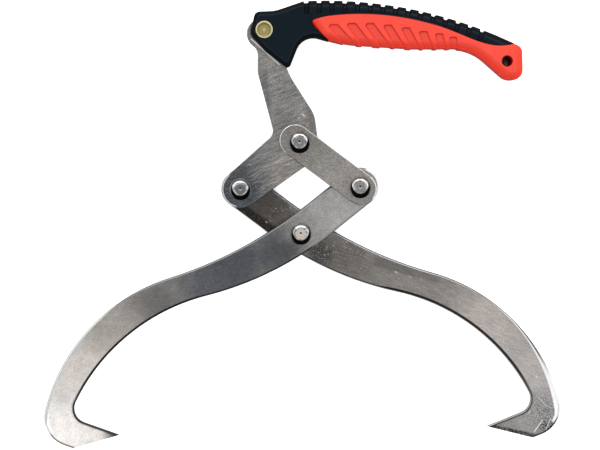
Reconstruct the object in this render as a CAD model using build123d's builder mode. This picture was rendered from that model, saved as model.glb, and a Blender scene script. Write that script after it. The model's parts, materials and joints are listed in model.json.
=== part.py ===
from build123d import *

import math
import os

# Log tongs lying on their back: +X to the right jaw, +Y to the handle, +Z up from the floor.
# The origin is on the floor, under the centre rivet. Sizes are in millimetres and degrees.

# Linkage: the four sides between neighbouring rivets are equal
pivot_pitch = 60.0
spread_angle = 105.0  # between the hanger's leg and the side link, with the jaws open as they lie
handle_pivot_left = 26.4  # from the top rivet to the handle's rivet
handle_pivot_up = 89.4

# Steel plates, in three layers with thin spacers between them
plate_thickness = 6.0
spacer_thickness = 0.6
rolled_edge = 2.2  # rounding of the jaw arms
broken_edge = 0.8  # rounding of hanger and link

# Jaw arm: its outer and its inner edge are each a straight, a neck bend and a bow
arm_width = 30.4
arm_end = 16.0  # from the end rivet to the round end
arm_straight = 41.5
outer_neck_radius = 345.0
outer_neck_angle = 20.9
outer_bow_radius = 149.0
outer_bow_angle = 58.4
heel_radius = 24.0
inner_neck_radius = 265.0
inner_neck_angle = 24.2
inner_bow_radius = 161.0
inner_bow_angle = 49.6
pocket_radius = 12.0
pocket_angle = 96.5
tip_length = 29.7
tip_angle = 35.5  # between the hook's rounded upper side and its ground lower side
hook_spare = 10.0  # left on the hook until its tip is ground

# Hanger plate: leg, upright and eye
leg_top_radius = 18.2
leg_top_shift = 3.0  # how far the leg's upper round lies past the top rivet, along the leg
leg_end_radius = 15.0
eye_radius = 11.9
eye_side = 2.0  # the eye's two rounds lie this far right and left of the handle's rivet
eye_drop = 2.4  # and its left round this far below
neck_left = 4.8
neck_bottom = 27.0  # where the right edge starts to widen, below the handle's rivet
bump_left = 5.9
bump_down = 33.0
bump_round = 12.0
neck_round = 9.0
flare_round = 60.0
shoulder_right = 12.6  # right shoulder, from the top rivet
shoulder_up = 21.9
shoulder_round = 25.0
crook_round = 8.0  # inside corner between upright and leg

# Side link
link_length = 90.0
link_width = 25.0
link_end = 16.1  # from the top rivet to the link's upper end
link_shift = 0.7  # its middle line runs this far below its rivets

# Rivets of the linkage, with their washers and spacers
rivet_radius = 4.0
spun_radius = 7.4  # spun head on the side that shows
spun_height = 3.3
spun_round = 2.8
dimple_radius = 1.5
dimple_depth = 0.4
back_head_radius = 7.5
back_head_height = 3.0
back_head_round = 1.2
washer_radius = 8.7
washer_thickness = 1.0
washer_edge = 0.35
spacer_radius = 10.0
running_clearance = 0.05  # between a rivet and the plate that turns on it
seated_clearance = 0.02  # between a rivet and the plate it is fixed in
washer_clearance = 0.1

# Handle, with places counted from its rivet
cheek_half = 11.0  # half the thickness of the black head
grip_half = 12.6  # half the thickness of the grip
cheek_round = 4.5
grip_round = 6.5
spine_radius = 350.0
spine_top_x = 43.5
spine_top_y = 22.5
tail_x = 205.2
tail_height = 25.8
tail_slant = 0.4
tail_foot = 13.8  # width of the tail's lower end
tail_hole_inset = 13.2
tail_hole_drop = 11.0
tail_hole_radius = 4.25
notch_count = 15
notch_pitch = 10.22
notch_first = -9.9  # first notch, along the spine from its top
notch_width = 3.6
notch_length = 10.6
notch_depth = 1.8
slot_gap = 0.5  # between the hanger's edge and the fork's web
slot_open_x = 7.0  # the fork is open above the eye, left of this
tongue_half = 7.5
pad_corner = 1.8
pad_depth = 0.8

# Brass rivet of the handle
hollow_rivet_radius = 5.8
hollow_rivet_bore = 4.6
hollow_rivet_recess = 2.5
rim_radius = 6.9
rim_thickness = 1.2
rim_round = 0.5
rim_seat_depth = 0.9
rim_clearance = 0.2
thrust_washer_radius = 11.0

# Heights of the middle planes of the three layers
layer_step = plate_thickness + spacer_thickness
back_z = back_head_height + plate_thickness / 2
middle_z = back_z + layer_step
front_z = middle_z + layer_step

# Places of the rivets
half_spread = math.radians(spread_angle / 2)
side_x = pivot_pitch * math.sin(half_spread)
side_y = pivot_pitch * math.cos(half_spread)
centre_pivot = (0.0, 0.0)
left_pivot = (-side_x, side_y)
right_pivot = (side_x, side_y)
top_pivot = (0.0, 2 * side_y)
handle_pivot = (-handle_pivot_left, top_pivot[1] + handle_pivot_up)

fixed_hole = rivet_radius + seated_clearance
turning_hole = rivet_radius + running_clearance

os.makedirs("parts", exist_ok=True)


def from_top(x, y):
    return (top_pivot[0] + x, top_pivot[1] + y)


def from_handle(x, y):
    return (handle_pivot[0] + x, handle_pivot[1] + y)


def flat_edges(piece):
    """Edges of the highest and the lowest face of a plate."""
    sides = piece.faces().sort_by(Axis.Z)
    return sides[0].edges() + sides[-1].edges()


def rounded_corners(corners, start=None, end=None):
    """Outline through corners given as x, y and rounding radius, closed unless its two ends are given."""
    points = [(x, y) for x, y, _ in corners]
    rounds = [r for _, _, r in corners]
    if start and end:
        return FilletPolyline(start, *points, end, radius=rounds)
    return FilletPolyline(*points, radius=rounds, close=True)


# Jaw arms: one shape, turned over for the other side
def jaw_outline():
    """Jaw arm with its end rivet at the origin, lying along +X, with the outer edge on the +Y side.
    The hook is still blunt. Returns the place of the tip and the way that the hook points."""
    half = arm_width / 2
    start = half - arm_end
    heel_angle = outer_neck_angle - outer_bow_angle + inner_bow_angle + pocket_angle - inner_neck_angle
    outer_side = Line((start, half), (arm_straight, half))
    outer_neck = JernArc(outer_side @ 1, outer_side % 1, outer_neck_radius, outer_neck_angle)
    outer_bow = JernArc(outer_neck @ 1, outer_neck % 1, outer_bow_radius, -outer_bow_angle)
    heel = JernArc(outer_bow @ 1, outer_bow % 1, heel_radius, -heel_angle)
    inner_side = Line((start, -half), (arm_straight, -half))
    inner_neck = JernArc(inner_side @ 1, inner_side % 1, inner_neck_radius, inner_neck_angle)
    inner_bow = JernArc(inner_neck @ 1, inner_neck % 1, inner_bow_radius, -inner_bow_angle)
    pocket = JernArc(inner_bow @ 1, inner_bow % 1, pocket_radius, -pocket_angle)
    pointing = pocket % 1
    tip = pocket @ 1 + pointing * tip_length
    hook_top = Line(pocket @ 1, tip + pointing * hook_spare)
    hook_low = Line(heel @ 1, heel @ 1 + pointing * (tip_length + hook_spare))
    Line(hook_top @ 1, hook_low @ 1)
    ThreePointArc((start, half), (-arm_end, 0), (start, -half))
    return tip, pointing


def ground_off(tip, pointing):
    """Outline of what is ground away below the hook's tip."""
    along = -pointing.rotate(Axis.Z, -tip_angle)
    down = along.rotate(Axis.Z, -90)
    right_end = tip + along * 2 * (tip_length + heel_radius)
    left_end = tip - along * 2 * hook_spare
    depth = 2 * arm_width
    return Polyline(left_end, right_end, right_end + down * depth, left_end + down * depth, close=True)


right_jaw_plane = Plane(origin=(*left_pivot, back_z), x_dir=(side_x, -side_y, 0), z_dir=(0, 0, 1))
left_jaw_plane = Plane(origin=(*right_pivot, middle_z), x_dir=(-side_x, -side_y, 0), z_dir=(0, 0, -1))

with BuildPart() as right_jaw:
    with BuildSketch(right_jaw_plane):
        with BuildLine():
            tip, pointing = jaw_outline()
        make_face()
    extrude(amount=plate_thickness / 2, both=True)
    blunt_end = right_jaw_plane.from_local_coords(tip + pointing * hook_spare)
    fillet(flat_edges(right_jaw).sort_by_distance(blunt_end)[2:], rolled_edge)
    with BuildSketch(right_jaw_plane):
        with BuildLine():
            ground_off(tip, pointing)
        make_face()
        Circle(turning_hole)
        with Locations((pivot_pitch, 0)):
            Circle(fixed_hole)
    extrude(amount=plate_thickness, both=True, mode=Mode.SUBTRACT)
right_jaw.part.label = "right_jaw"
export_step(right_jaw.part, "parts/right_jaw.step")

with BuildPart() as left_jaw:
    with BuildSketch(left_jaw_plane):
        with BuildLine():
            tip, pointing = jaw_outline()
        make_face()
    extrude(amount=plate_thickness / 2, both=True)
    blunt_end = left_jaw_plane.from_local_coords(tip + pointing * hook_spare)
    fillet(flat_edges(left_jaw).sort_by_distance(blunt_end)[2:], rolled_edge)
    with BuildSketch(left_jaw_plane):
        with BuildLine():
            ground_off(tip, pointing)
        make_face()
        Circle(fixed_hole)
        with Locations((pivot_pitch, 0)):
            Circle(turning_hole)
    extrude(amount=plate_thickness, both=True, mode=Mode.SUBTRACT)
left_jaw.part.label = "left_jaw"
export_step(left_jaw.part, "parts/left_jaw.step")

# Hanger plate: a leg between the top and left rivets, and an upright with the eye for the handle
hanger_plane = Plane.XY.offset(middle_z)
leg_top = from_top(-leg_top_shift * math.sin(half_spread), -leg_top_shift * math.cos(half_spread))
eye_right = eye_side + eye_radius
neck_corner = from_handle(-neck_left, -eye_drop - eye_radius)
crook_corner = from_top(-leg_top_radius - leg_top_shift, 0)
upright_corners = [
    (*from_handle(-neck_left, 0), 0),
    (*from_handle(-bump_left, -bump_down), bump_round),
    (*from_top(-leg_top_radius, 0), 0),
    (*from_top(leg_top_radius - leg_top_shift, 0), 0),
    (*from_top(shoulder_right, shoulder_up), shoulder_round),
    (*from_handle(eye_right, -neck_bottom), flare_round),
    (*from_handle(eye_right, 0), 0),
]

with BuildSketch(hanger_plane) as hanger_leg:
    with Locations(leg_top):
        Circle(leg_top_radius)
    with Locations(left_pivot):
        Circle(leg_end_radius)
    make_hull()

with BuildSketch(hanger_plane) as hanger_eye:
    with Locations(from_handle(eye_side, 0), from_handle(-eye_side, -eye_drop)):
        Circle(eye_radius)
    make_hull()

with BuildPart() as hanger_plate:
    with BuildSketch(hanger_plane) as hanger_outline:
        add(hanger_leg.sketch_local)
        add(hanger_eye.sketch_local)
        with BuildLine():
            rounded_corners(upright_corners)
        make_face()
        fillet(hanger_outline.vertices().sort_by_distance(neck_corner)[0], neck_round)
        fillet(hanger_outline.vertices().sort_by_distance(crook_corner)[0], crook_round)
    extrude(amount=plate_thickness / 2, both=True)
    fillet(flat_edges(hanger_plate), broken_edge)
    with BuildSketch(hanger_plane):
        with Locations(top_pivot, left_pivot):
            Circle(fixed_hole)
        with Locations(handle_pivot):
            Circle(hollow_rivet_radius + running_clearance)
    extrude(amount=plate_thickness, both=True, mode=Mode.SUBTRACT)
hanger_plate.part.label = "hanger_plate"
export_step(hanger_plate.part, "parts/hanger_plate.step")

# Side link from the top rivet to the right rivet
link_plane = Plane(origin=(*top_pivot, front_z), x_dir=(side_x, -side_y, 0), z_dir=(0, 0, 1))
with BuildPart() as side_link:
    with BuildSketch(link_plane):
        with Locations((link_length / 2 - link_end, -link_shift)):
            SlotOverall(link_length, link_width)
    extrude(amount=plate_thickness / 2, both=True)
    fillet(flat_edges(side_link), broken_edge)
    with BuildSketch(link_plane):
        with Locations((0, 0), (pivot_pitch, 0)):
            Circle(turning_hole)
    extrude(amount=plate_thickness, both=True, mode=Mode.SUBTRACT)
side_link.part.label = "side_link"
export_step(side_link.part, "parts/side_link.step")

# Each linkage rivet joins two neighbouring layers: a low factory head under the lower plate, a spacer
# between the plates, and a washer and a spun head on the upper plate
joints = {
    "top": (top_pivot, front_z),
    "right": (right_pivot, front_z),
    "left": (left_pivot, middle_z),
    "centre": (centre_pivot, middle_z),
}
for name, (pivot, upper_z) in joints.items():
    washer_bottom = upper_z + plate_thickness / 2
    washer_top = washer_bottom + washer_thickness
    spun_top = washer_top + spun_height
    spacer_bottom = upper_z - plate_thickness / 2 - spacer_thickness
    head_top = spacer_bottom - plate_thickness

    with BuildPart() as rivet:
        with BuildSketch(Plane(origin=(*pivot, 0), x_dir=(1, 0, 0), z_dir=(0, -1, 0))):
            with BuildLine():
                Polyline(
                    (0, head_top - back_head_height),
                    (back_head_radius, head_top - back_head_height),
                    (back_head_radius, head_top),
                    (rivet_radius, head_top),
                    (rivet_radius, washer_top),
                    (spun_radius, washer_top),
                    (spun_radius, spun_top),
                    (dimple_radius, spun_top),
                    (0, spun_top - dimple_depth),
                    close=True,
                )
            make_face()
        revolve(axis=Axis((*pivot, 0), (0, 0, 1)))
        fillet(rivet.edges().filter_by(GeomType.CIRCLE).group_by(Axis.Z)[0], back_head_round)
        fillet(rivet.edges().group_by(Axis.Z)[-1].sort_by(SortBy.RADIUS)[-1], spun_round)
    rivet.part.label = f"{name}_rivet"
    export_step(rivet.part, f"parts/{name}_rivet.step")

    with BuildPart() as washer:
        with BuildSketch(Plane.XY.offset(washer_bottom)):
            with Locations(pivot):
                Circle(washer_radius)
        extrude(amount=washer_thickness)
        chamfer(washer.faces().sort_by(Axis.Z)[-1].edges(), washer_edge)
        with BuildSketch(Plane.XY.offset(washer_bottom)):
            with Locations(pivot):
                Circle(rivet_radius + washer_clearance)
        extrude(amount=washer_thickness, mode=Mode.SUBTRACT)
    washer.part.label = f"{name}_washer"
    export_step(washer.part, f"parts/{name}_washer.step")

    with BuildPart() as spacer:
        with BuildSketch(Plane.XY.offset(spacer_bottom)):
            with Locations(pivot):
                Circle(spacer_radius)
                Circle(rivet_radius + washer_clearance, mode=Mode.SUBTRACT)
        extrude(amount=spacer_thickness)
    spacer.part.label = f"{name}_spacer"
    export_step(spacer.part, f"parts/{name}_spacer.step")

# Handle: a black core with fork, finger guard and notched spine, and a red cover moulded over it
handle_plane = Plane(origin=(*handle_pivot, middle_z))
spine_centre = (spine_top_x, spine_top_y - spine_radius)


def on_spine(x):
    return spine_centre[1] + math.sqrt(spine_radius**2 - (x - spine_centre[0]) ** 2)


def spine_point(along):
    turn = along / spine_radius
    return (spine_centre[0] + spine_radius * math.sin(turn), spine_centre[1] + spine_radius * math.cos(turn))


tail_top = (tail_x - tail_slant, on_spine(tail_x - tail_slant))


def from_tail(x, y):
    return (tail_top[0] + x, tail_top[1] + y)


belly_middle = (118.0, -17.5)
grip_start = (33.0, 11.0)
spine_start = (grip_start[0], on_spine(grip_start[0]))
spine_middle = (belly_middle[0], on_spine(belly_middle[0]))
spine_end_round = 6.0
grip_corners = [
    (*from_tail(tail_slant, -tail_height), 8.0),
    (*from_tail(tail_slant - tail_foot, -tail_height), 11.0),
    (*from_tail(-40.8, -1.1), 37.0),
    (*belly_middle, 150.0),
    (66.0, -13.3, 60.0),
    (46.0, -7.9, 9.0),
    (*grip_start, 9.0),
]
head_corners = [
    (-11.3, -2.8, 5.0),
    (-7.0, 14.5, 4.5),
    (9.0, 14.9, 30.0),
    (33.0, 22.7, 10.0),
    (62.0, 20.0, 3.0),
    (62.0, -11.0, 3.0),
    (55.0, -10.8, 6.0),
    (30.8, -3.4, 14.0),
    (19.0, -31.6, 3.4),
    (0.0, -16.3, 15.0),
]


def grip_shape(inset):
    """The whole grip, drawn in on all sides by an inset."""
    with BuildPart() as grip:
        with BuildSketch(handle_plane) as outline:
            with BuildLine():
                ThreePointArc(spine_start, spine_middle, tail_top)
                rounded_corners(grip_corners, tail_top, spine_start)
            make_face()
            for spine_end in (tail_top, spine_start):
                fillet(outline.vertices().sort_by_distance(spine_end)[0], spine_end_round)
            offset(amount=-inset)
        extrude(amount=grip_half - inset, both=True)
        fillet(flat_edges(grip), grip_round - inset)
    return grip.part


def handle_shape(inset):
    """Head and grip in one, drawn in on all sides by an inset."""
    with BuildPart() as handle:
        with BuildSketch(handle_plane):
            with BuildLine():
                rounded_corners(head_corners)
            make_face()
            offset(amount=-inset)
        extrude(amount=cheek_half - inset, both=True)
        fillet(flat_edges(handle), cheek_round - inset)
        add(grip_shape(inset))
    return handle.part


# Room of the red cover: below a wavy line along each side, and all of the tail
red_line = [
    (35.2, 5.7),
    (60.6, 11.4),
    (92.6, 11.0),
    (124.5, 5.5),
    (156.3, -6.6),
    from_tail(-19.0, 1.3),
    from_tail(-4.3, 3.5),
]
red_front = [(66.0, -64.0), (51.0, -9.0)]
red_nose_round = 2.4
outside = 50.0
with BuildPart() as red_room:
    with BuildSketch(handle_plane) as red_side:
        with BuildLine():
            Spline(*red_line)
            Polyline(
                red_line[-1],
                from_tail(0, outside),
                from_tail(outside, outside),
                from_tail(outside, -outside),
                *red_front,
                red_line[0],
            )
        make_face()
        fillet(red_side.vertices().sort_by_distance(red_line[0])[0], red_nose_round)
    extrude(amount=2 * grip_half, both=True)

# Tongue of the core inside the cover
tongue_corners = [
    (34.0, 12.0, 2.0),
    (48.0, 16.0, 20.0),
    (118.0, 10.5, 60.0),
    (*from_tail(-32.8, 7.5), 3.0),
    (*from_tail(-25.8, -5.5), 3.0),
    (*from_tail(-44.8, 6.0), 20.0),
    (118.0, -12.0, 80.0),
    (66.0, -8.5, 30.0),
    (48.0, -3.0, 2.0),
]
with BuildPart() as tongue:
    with BuildSketch(handle_plane):
        with BuildLine():
            rounded_corners(tongue_corners)
        make_face()
    extrude(amount=tongue_half, both=True)

# The fork's slot is open to the left and below, and its web runs along the hanger's right edge
slot_reach = eye_right + slot_gap
slot_bottom = shoulder_up - handle_pivot_up
slot_corners = [
    (slot_reach, 0, 0),
    (slot_reach, -neck_bottom, flare_round),
    (handle_pivot_left + shoulder_right + slot_gap, slot_bottom, 0),
    (-pivot_pitch, slot_bottom, 0),
    (-pivot_pitch, spine_top_y, 0),
    (slot_open_x, spine_top_y, 0),
    (slot_open_x, 0, 0),
]
notch_places = []
for i in range(notch_count):
    along = notch_first + notch_pitch * i
    notch_places.append(Location((*spine_point(along), 0), (0, 0, -math.degrees(along / spine_radius))))

with BuildPart() as handle_core:
    add(handle_shape(0))
    with BuildSketch(handle_plane):
        with Locations(*notch_places):
            Rectangle(notch_width, 2 * notch_length)
    extrude(amount=2 * grip_half, both=True, mode=Mode.SUBTRACT)
    add(handle_shape(notch_depth))
    add(red_room.part, mode=Mode.SUBTRACT)
    add(tongue.part)
    with BuildSketch(handle_plane):
        Circle(slot_reach)
        with BuildLine():
            rounded_corners(slot_corners)
        make_face()
    extrude(amount=plate_thickness / 2 + spacer_thickness, both=True, mode=Mode.SUBTRACT)
    with BuildSketch(handle_plane):
        Circle(hollow_rivet_radius + seated_clearance)
    extrude(amount=2 * grip_half, both=True, mode=Mode.SUBTRACT)
    for side in (1, -1):
        with BuildSketch(handle_plane.offset(side * cheek_half)):
            Circle(rim_radius + rim_clearance)
        extrude(amount=-side * rim_seat_depth, mode=Mode.SUBTRACT)
handle_core.part.label = "handle_core"
export_step(handle_core.part, "parts/handle_core.step")

# Sunk pads that run from the cover's sides over its belly: middle of the upper end, the slant's foot, and width
pad_foot = belly_middle[1] - grip_round
pads = [
    (53.5, 3.2, 78.0, 9.2),
    (68.1, 3.9, 89.0, 8.6),
    (82.5, 3.6, 102.4, 8.4),
    (96.9, 2.2, 112.6, 7.8),
    (111.2, -0.1, 123.6, 7.4),
    (125.2, -3.3, 132.7, 7.2),
    (138.0, -5.3, 142.1, 6.6),
    (149.1, -8.1, 151.1, 6.2),
]
with BuildPart() as grip_cover:
    add(grip_shape(0))
    with BuildSketch(handle_plane):
        for top_x, top_y, foot_x, pad_width in pads:
            pad_corners = [
                (top_x - pad_width / 2, top_y, pad_corner),
                (top_x + pad_width / 2, top_y, pad_corner),
                (foot_x + pad_width / 2, pad_foot, pad_corner),
                (foot_x - pad_width / 2, pad_foot, pad_corner),
            ]
            with BuildLine():
                rounded_corners(pad_corners)
            make_face()
    extrude(amount=2 * grip_half, both=True, mode=Mode.SUBTRACT)
    add(grip_shape(pad_depth))
    add(red_room.part, mode=Mode.INTERSECT)
    add(tongue.part, mode=Mode.SUBTRACT)
    with BuildSketch(handle_plane):
        with Locations(from_tail(tail_slant - tail_hole_inset, -tail_hole_drop)):
            Circle(tail_hole_radius)
    extrude(amount=2 * grip_half, both=True, mode=Mode.SUBTRACT)
grip_cover.part.label = "grip_cover"
export_step(grip_cover.part, "parts/grip_cover.step")

# Brass hollow rivet through the fork, rolled over at both ends
rim_base = cheek_half - rim_seat_depth
hollow_end = rim_base + rim_thickness
with BuildPart() as handle_rivet:
    with BuildSketch(Plane(origin=(*handle_pivot, middle_z), x_dir=(1, 0, 0), z_dir=(0, -1, 0))):
        with BuildLine():
            Polyline(
                (0, 0),
                (hollow_rivet_radius, 0),
                (hollow_rivet_radius, rim_base),
                (rim_radius, rim_base),
                (rim_radius, hollow_end),
                (hollow_rivet_bore, hollow_end),
                (hollow_rivet_bore, hollow_end - hollow_rivet_recess),
                (0, hollow_end - hollow_rivet_recess),
                close=True,
            )
        make_face()
    revolve(axis=Axis((*handle_pivot, 0), (0, 0, 1)))
    fillet(handle_rivet.edges().filter_by(GeomType.CIRCLE).group_by(Axis.Z)[-1], rim_round)
    mirror(about=handle_plane)
handle_rivet.part.label = "handle_rivet"
export_step(handle_rivet.part, "parts/handle_rivet.step")

# Thrust washers between the hanger's eye and the fork's cheeks
thrust_washers = {
    "front_thrust_washer": middle_z + plate_thickness / 2,
    "back_thrust_washer": middle_z - plate_thickness / 2 - spacer_thickness,
}
for name, bottom in thrust_washers.items():
    with BuildPart() as thrust_washer:
        with BuildSketch(Plane.XY.offset(bottom)):
            with Locations(handle_pivot):
                Circle(thrust_washer_radius)
                Circle(hollow_rivet_radius + washer_clearance, mode=Mode.SUBTRACT)
        extrude(amount=spacer_thickness)
    thrust_washer.part.label = name
    export_step(thrust_washer.part, f"parts/{name}.step")

for name, (pivot, _) in joints.items():
    print(name, "rivet at", [round(v, 3) for v in pivot])
print("handle rivet at", [round(v, 3) for v in handle_pivot], "middle layer at", round(middle_z, 3))
tail_hole = from_handle(*from_tail(tail_slant - tail_hole_inset, -tail_hole_drop))
print("tail hole at", [round(v, 3) for v in tail_hole])
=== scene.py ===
import json
import math

import bpy
from mathutils import Euler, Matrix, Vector


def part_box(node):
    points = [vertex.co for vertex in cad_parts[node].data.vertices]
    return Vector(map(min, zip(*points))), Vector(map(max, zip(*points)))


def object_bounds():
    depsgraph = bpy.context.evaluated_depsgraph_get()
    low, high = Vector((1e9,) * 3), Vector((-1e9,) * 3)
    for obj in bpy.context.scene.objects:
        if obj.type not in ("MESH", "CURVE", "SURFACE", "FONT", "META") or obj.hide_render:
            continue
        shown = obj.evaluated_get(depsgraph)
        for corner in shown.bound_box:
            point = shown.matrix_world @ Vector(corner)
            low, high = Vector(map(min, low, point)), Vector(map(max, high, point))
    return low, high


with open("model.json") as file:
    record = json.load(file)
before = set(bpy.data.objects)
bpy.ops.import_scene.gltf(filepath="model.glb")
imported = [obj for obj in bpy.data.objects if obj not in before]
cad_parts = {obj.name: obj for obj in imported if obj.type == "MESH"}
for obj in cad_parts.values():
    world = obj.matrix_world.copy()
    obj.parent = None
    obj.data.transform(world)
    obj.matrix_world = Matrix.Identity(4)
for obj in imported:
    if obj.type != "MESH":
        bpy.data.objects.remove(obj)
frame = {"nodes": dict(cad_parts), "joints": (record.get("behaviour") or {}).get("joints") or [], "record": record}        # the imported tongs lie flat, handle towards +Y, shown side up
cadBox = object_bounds()
nodes = frame["nodes"]
pivots = {joint["name"]: Vector(joint["pos_m"]) for joint in frame["joints"]}


# small helpers for node trees
def makeGroup(name, inputs, outputs):
    tree = bpy.data.node_groups.new(name, "ShaderNodeTree")
    for socketName, kind, value in inputs:
        socket = tree.interface.new_socket(socketName, in_out="INPUT", socket_type=kind)
        if value is not None:
            socket.default_value = value
    for socketName, kind in outputs:
        tree.interface.new_socket(socketName, in_out="OUTPUT", socket_type=kind)
    return tree, tree.nodes.new("NodeGroupInput"), tree.nodes.new("NodeGroupOutput")


def feed(tree, source, socket):
    if isinstance(source, bpy.types.NodeSocket):
        tree.links.new(source, socket)
    elif source is not None:
        socket.default_value = source


def math2(tree, operation, first, second=None):
    node = tree.nodes.new("ShaderNodeMath")
    node.operation = operation
    feed(tree, first, node.inputs[0])
    feed(tree, second, node.inputs[1])
    return node.outputs[0]


def rampMask(tree, value, low, high):
    node = tree.nodes.new("ShaderNodeMapRange")
    node.interpolation_type = "SMOOTHSTEP"
    feed(tree, value, node.inputs["Value"])
    feed(tree, low, node.inputs["From Min"])
    feed(tree, high, node.inputs["From Max"])
    return node.outputs["Result"]


def mixColour(tree, factor, first, second):
    node = tree.nodes.new("ShaderNodeMix")
    node.data_type = "RGBA"
    feed(tree, factor, node.inputs["Factor"])
    feed(tree, first, node.inputs[6])
    feed(tree, second, node.inputs[7])
    return node.outputs[2]


def tint(tree, mask, strength, face, tone):
    return mixColour(tree, math2(tree, "MULTIPLY", mask, strength), face, tone)


def mixValue(tree, factor, first, second):
    node = tree.nodes.new("ShaderNodeMix")
    node.data_type = "FLOAT"
    feed(tree, factor, node.inputs["Factor"])
    feed(tree, first, node.inputs[2])
    feed(tree, second, node.inputs[3])
    return node.outputs[0]


def noise(tree, vector, scale, detail=4.0, roughness=0.55):
    node = tree.nodes.new("ShaderNodeTexNoise")
    feed(tree, vector, node.inputs["Vector"])
    feed(tree, scale, node.inputs["Scale"])
    node.inputs["Detail"].default_value = detail
    node.inputs["Roughness"].default_value = roughness
    return node.outputs["Fac"]


def turnedStretched(tree, vector, angle, stretch):
    node = tree.nodes.new("ShaderNodeMapping")
    node.vector_type = "TEXTURE"
    feed(tree, vector, node.inputs["Vector"])
    node.inputs["Rotation"].default_value = (0, 0, angle)
    node.inputs["Scale"].default_value = stretch
    return node.outputs["Vector"]


def vectorMath(tree, operation, first, second=None, scale=None):
    node = tree.nodes.new("ShaderNodeVectorMath")
    node.operation = operation
    feed(tree, first, node.inputs[0])
    if second is not None:
        feed(tree, second, node.inputs[1])
    if scale is not None:
        feed(tree, scale, node.inputs["Scale"])
    return node.outputs["Value" if operation in ("LENGTH", "DOT_PRODUCT") else "Vector"]


def combine(tree, x, y, z):
    node = tree.nodes.new("ShaderNodeCombineXYZ")
    for value, socket in zip((x, y, z), node.inputs):
        feed(tree, value, socket)
    return node.outputs[0]


def objectCoords(tree):
    return tree.nodes.new("ShaderNodeTexCoord").outputs["Object"]


def grey(value):
    return (value, value, value, 1)


# shared effects
def peaks(tree, pattern, top, amount):
    # the highest parts of a pattern, more of them as the amount grows
    share, softness = 0.3, 0.05
    limit = math2(tree, "SUBTRACT", top, math2(tree, "MULTIPLY", amount, share))
    return rampMask(tree, pattern, limit, math2(tree, "ADD", limit, softness))


def steelGrainGroup():
    # even grain, streaks along the stretched vector and slow blotches, each spread over 0 to 1
    tree, inside, outside = makeGroup(
        "steelGrain",
        [("Vector", "NodeSocketVector", None), ("Stretched", "NodeSocketVector", None),
         ("Scale", "NodeSocketFloat", 900.0)],
        [("Grain", "NodeSocketFloat"), ("Streaks", "NodeSocketFloat"), ("Blotches", "NodeSocketFloat")],
    )
    vector, stretched = inside.outputs["Vector"], inside.outputs["Stretched"]
    scale = inside.outputs["Scale"]
    streakScale = math2(tree, "MULTIPLY", scale, 0.8)
    blotchScale = math2(tree, "MULTIPLY", scale, 0.07)
    patterns = {
        "Grain": noise(tree, vector, scale, detail=3.0, roughness=0.7),
        "Streaks": noise(tree, stretched, streakScale, detail=3.0, roughness=0.65),
        "Blotches": noise(tree, vector, blotchScale, detail=4.0, roughness=0.6),
    }
    for outputName, pattern in patterns.items():
        feed(tree, rampMask(tree, pattern, low=0.3, high=0.7), outside.inputs[outputName])
    return tree


def scratchesGroup():
    # short fine lines, the peaks of noise on a long stretched vector
    tree, inside, outside = makeGroup(
        "scratches",
        [("Vector", "NodeSocketVector", None), ("Scale", "NodeSocketFloat", 1400.0),
         ("Amount", "NodeSocketFloat", 0.3)],
        [("Mask", "NodeSocketFloat")],
    )
    lines = noise(tree, inside.outputs["Vector"], inside.outputs["Scale"], detail=1.0, roughness=0.5)
    feed(tree, peaks(tree, lines, top=0.8, amount=inside.outputs["Amount"]), outside.inputs["Mask"])
    return tree


def specksGroup():
    # scattered small chips, thicker in some places than in others
    tree, inside, outside = makeGroup(
        "specks",
        [("Vector", "NodeSocketVector", None), ("Scale", "NodeSocketFloat", 700.0),
         ("Amount", "NodeSocketFloat", 0.3)],
        [("Mask", "NodeSocketFloat")],
    )
    vector, scale = inside.outputs["Vector"], inside.outputs["Scale"]
    whereScale, whereWeight = 0.05, 0.5
    dots = noise(tree, vector, scale, detail=2.0, roughness=0.7)
    where = noise(tree, vector, math2(tree, "MULTIPLY", scale, whereScale), detail=3.0)
    both = math2(tree, "ADD", dots, math2(tree, "MULTIPLY", where, whereWeight))
    feed(tree, peaks(tree, both, top=1.1, amount=inside.outputs["Amount"]), outside.inputs["Mask"])
    return tree


def slopeGroup():
    # where a face turns down into an edge, its last steep part, its upright wall, and whether it looks
    # away from a middle
    tree, inside, outside = makeGroup(
        "slope",
        [("Start", "NodeSocketFloat", 0.985), ("End", "NodeSocketFloat", 0.75),
         ("Middle", "NodeSocketVector", (0.0, 0.0, 0.0))],
        [("Edge", "NodeSocketFloat"), ("Rim", "NodeSocketFloat"), ("Wall", "NodeSocketFloat"),
         ("Outer", "NodeSocketFloat")],
    )
    rimTurn, wallTurn, outerSoft = (0.78, 0.62), (0.3, 0.1), 0.06
    coords = tree.nodes.new("ShaderNodeTexCoord")
    split = tree.nodes.new("ShaderNodeSeparateXYZ")
    feed(tree, coords.outputs["Normal"], split.inputs[0])
    upright = math2(tree, "ABSOLUTE", split.outputs["Z"])
    begun = rampMask(tree, upright, inside.outputs["Start"], inside.outputs["End"])
    feed(tree, begun, outside.inputs["Edge"])
    feed(tree, rampMask(tree, upright, *rimTurn), outside.inputs["Rim"])
    feed(tree, rampMask(tree, upright, *wallTurn), outside.inputs["Wall"])
    away = vectorMath(tree, "SUBTRACT", coords.outputs["Object"], inside.outputs["Middle"])
    away = vectorMath(tree, "NORMALIZE", away)
    facing = vectorMath(tree, "DOT_PRODUCT", away, coords.outputs["Normal"])
    feed(tree, rampMask(tree, facing, -outerSoft, outerSoft), outside.inputs["Outer"])
    return tree


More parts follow.
